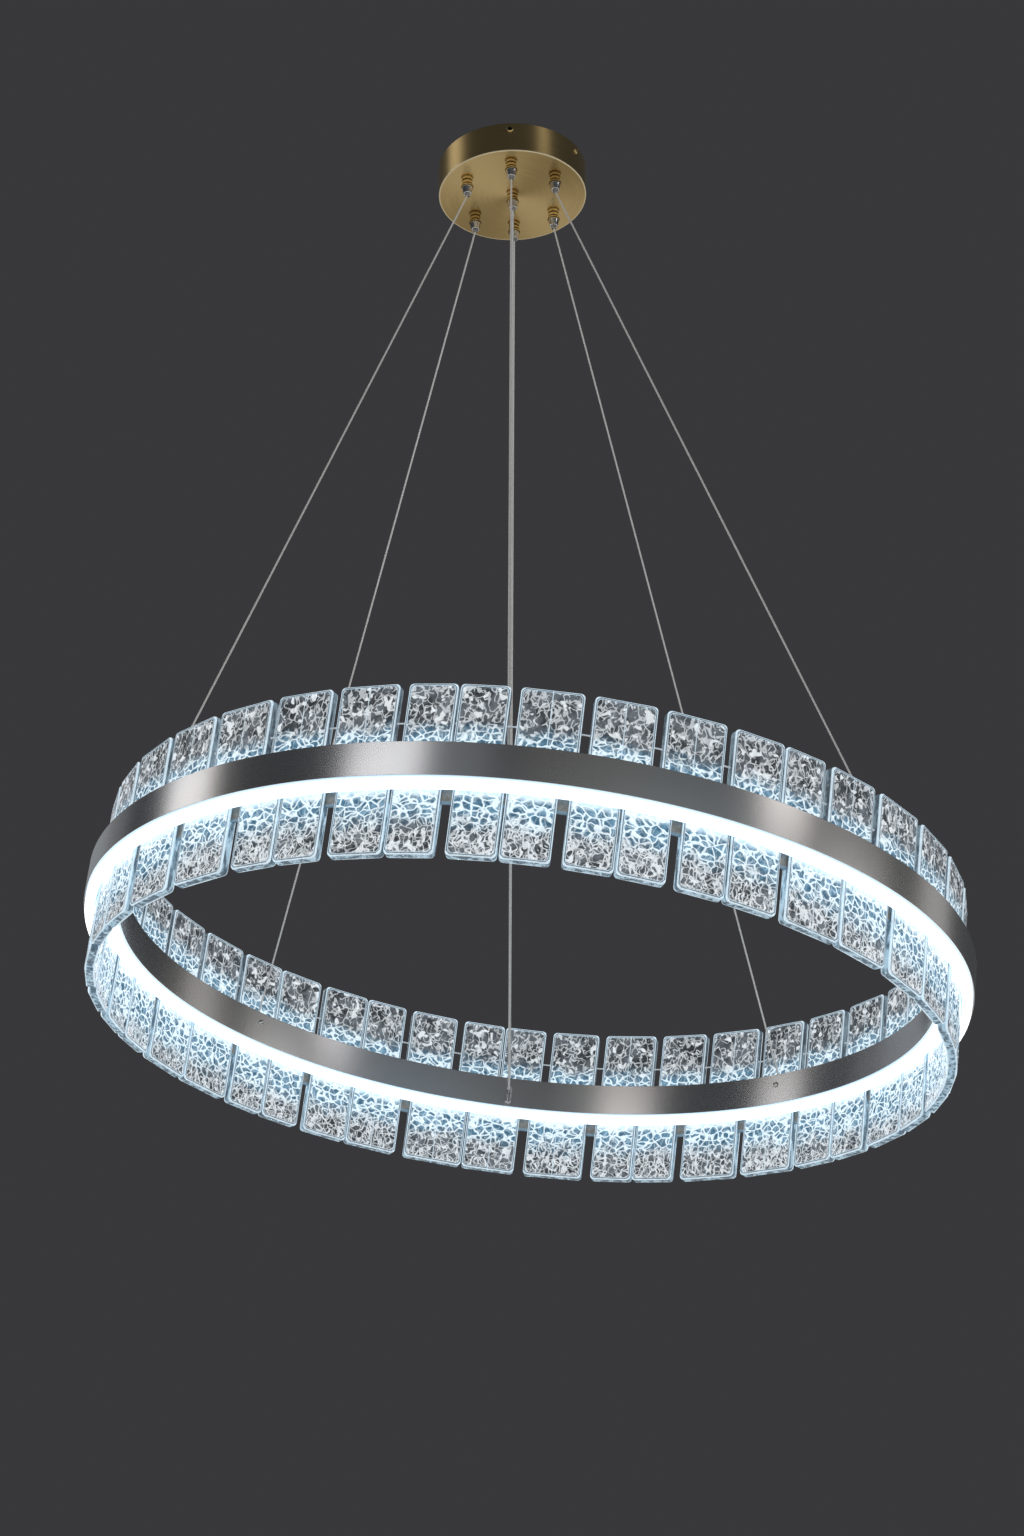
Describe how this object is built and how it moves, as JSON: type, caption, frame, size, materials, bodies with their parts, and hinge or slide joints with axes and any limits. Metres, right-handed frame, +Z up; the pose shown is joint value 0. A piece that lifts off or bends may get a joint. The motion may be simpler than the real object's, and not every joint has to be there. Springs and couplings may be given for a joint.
{
  "type": "led ring chandelier",
  "caption": "Pendant ring lamp with two rows of slotted glass tiles over a lit steel ring, hung on six cables from a round brass canopy.",
  "frame": {"origin": "centre of the mounting plate's face against the ceiling, midway between its two ceiling holes", "axes": "+Z up into the ceiling, -Y towards the viewer of the picture, +X to the viewer's right"},
  "size_m": [0.7972, 0.8005, 1.0077],
  "materials": {
    "brushed_brass": "brushed",
    "turned_brass": "polished",
    "screw_brass": "satin",
    "plate_steel": "zinc plated",
    "driver_case": "matte",
    "terminal_plastic": "matte",
    "screw_steel": "satin",
    "nickel": "polished",
    "nickel_dark": "satin",
    "polished_steel": "mirror polished",
    "web_aluminium": "satin",
    "rail_aluminium": "satin",
    "led_board": "matte",
    "opal_diffuser": "opal",
    "cast_glass": "hammered",
    "clear_link": "clear",
    "anchor_nickel": "satin",
    "steel_cable": "stranded",
    "cord_sleeve": "clear over tinned braid"
  },
  "bodies": {
    "canopy": {"canopy_cup": "brushed_brass", "mounting_plate": "plate_steel", "side_screws": "screw_brass", "led_driver": "driver_case", "terminal_block": "terminal_plastic", "gripper_collars": "turned_brass", "gripper_nuts": "screw_steel", "gripper_housings": "nickel", "gland_collar": "turned_brass", "gland_housing": "nickel", "gland_bush": "nickel_dark"},
    "ring": {"outer_band": "polished_steel", "inner_band": "polished_steel", "outer_web": "web_aluminium", "inner_web": "web_aluminium", "tile_rail": "rail_aluminium", "outer_led_boards": "led_board", "inner_led_boards": "led_board", "outer_diffuser": "opal_diffuser", "inner_diffuser": "opal_diffuser", "upper_tiles_1": "cast_glass", "upper_tiles_2": "cast_glass", "upper_tiles_3": "cast_glass", "upper_tiles_4": "cast_glass", "upper_tiles_5": "cast_glass", "upper_tiles_6": "cast_glass", "lower_tiles_1": "cast_glass", "lower_tiles_2": "cast_glass", "lower_tiles_3": "cast_glass", "lower_tiles_4": "cast_glass", "lower_tiles_5": "cast_glass", "lower_tiles_6": "cast_glass", "tile_links": "clear_link", "cable_anchors": "anchor_nickel", "anchor_screws": "screw_steel", "power_inlet": "nickel_dark"},
    "nose_1": {"release_nose_1": "nickel_dark"},
    "nose_2": {"release_nose_2": "nickel_dark"},
    "nose_3": {"release_nose_3": "nickel_dark"},
    "nose_4": {"release_nose_4": "nickel_dark"},
    "nose_5": {"release_nose_5": "nickel_dark"},
    "nose_6": {"release_nose_6": "nickel_dark"},
    "cable_1": {"cable_1": "steel_cable"},
    "cable_2": {"cable_2": "steel_cable"},
    "cable_3": {"cable_3": "steel_cable"},
    "cable_4": {"cable_4": "steel_cable"},
    "cable_5": {"cable_5": "steel_cable"},
    "cable_6": {"cable_6": "steel_cable"},
    "power_cord": {"power_cord": "cord_sleeve"}
  },
  "joints": [
    {"name": "ring_twist", "type": "hinge", "parent": "canopy", "child": "ring", "pos_m": [0, 0, -0.893], "axis": [0, 0, 1], "range_deg": [-3, 3], "stiffness_Nm_per_rad": 2},
    {"name": "cable_1_swing", "type": "hinge", "parent": "canopy", "child": "cable_1", "pos_m": [-0.04503, -0.026, -0.0511], "axis": [-0.8357, -0.3975, 0.3791], "range_deg": [-1.36, 1.36]},
    {"name": "cable_2_swing", "type": "hinge", "parent": "canopy", "child": "cable_2", "pos_m": [0, -0.052, -0.0511], "axis": [-0.012, -0.9312, 0.3643], "range_deg": [-1.3, 1.3]},
    {"name": "cable_3_swing", "type": "hinge", "parent": "canopy", "child": "cable_3", "pos_m": [0.04361, -0.02832, -0.0511], "axis": [0.8411, -0.4123, 0.3501], "range_deg": [-1.25, 1.25]},
    {"name": "cable_4_swing", "type": "hinge", "parent": "canopy", "child": "cable_4", "pos_m": [0.04098, 0.03201, -0.0511], "axis": [0.5974, 0.716, 0.3611], "range_deg": [-1.29, 1.29]},
    {"name": "cable_5_swing", "type": "hinge", "parent": "canopy", "child": "cable_5", "pos_m": [0, 0.052, -0.0511], "axis": [-0.0612, 0.926, 0.3724], "range_deg": [-1.33, 1.33]},
    {"name": "cable_6_swing", "type": "hinge", "parent": "canopy", "child": "cable_6", "pos_m": [-0.03925, 0.03411, -0.0511], "axis": [-0.6701, 0.6377, 0.3798], "range_deg": [-1.36, 1.36]},
    {"name": "power_cord_swing", "type": "hinge", "parent": "canopy", "child": "power_cord", "pos_m": [0, 0, -0.0511], "axis": [-0.0635, 0.9109, 0.4077], "range_deg": [-1.26, 1.26]},
    {"name": "release_1", "type": "slide", "parent": "canopy", "child": "nose_1", "axis": [0, 0, 1], "range_m": [0, 0.002], "stiffness_N_per_m": 400, "springref_m": -0.002},
    {"name": "release_2", "type": "slide", "parent": "canopy", "child": "nose_2", "axis": [0, 0, 1], "range_m": [0, 0.002], "stiffness_N_per_m": 400, "springref_m": -0.002},
    {"name": "release_3", "type": "slide", "parent": "canopy", "child": "nose_3", "axis": [0, 0, 1], "range_m": [0, 0.002], "stiffness_N_per_m": 400, "springref_m": -0.002},
    {"name": "release_4", "type": "slide", "parent": "canopy", "child": "nose_4", "axis": [0, 0, 1], "range_m": [0, 0.002], "stiffness_N_per_m": 400, "springref_m": -0.002},
    {"name": "release_5", "type": "slide", "parent": "canopy", "child": "nose_5", "axis": [0, 0, 1], "range_m": [0, 0.002], "stiffness_N_per_m": 400, "springref_m": -0.002},
    {"name": "release_6", "type": "slide", "parent": "canopy", "child": "nose_6", "axis": [0, 0, 1], "range_m": [0, 0.002], "stiffness_N_per_m": 400, "springref_m": -0.002}
  ],
  "couplings": [
    {"joint": "cable_1_swing", "follows": "ring_twist", "ratio": 0.44063},
    {"joint": "cable_2_swing", "follows": "ring_twist", "ratio": 0.42272},
    {"joint": "cable_3_swing", "follows": "ring_twist", "ratio": 0.40587},
    {"joint": "cable_4_swing", "follows": "ring_twist", "ratio": 0.41743},
    {"joint": "cable_5_swing", "follows": "ring_twist", "ratio": 0.43235},
    {"joint": "cable_6_swing", "follows": "ring_twist", "ratio": 0.44183},
    {"joint": "power_cord_swing", "follows": "ring_twist", "ratio": 0.40768}
  ]
}
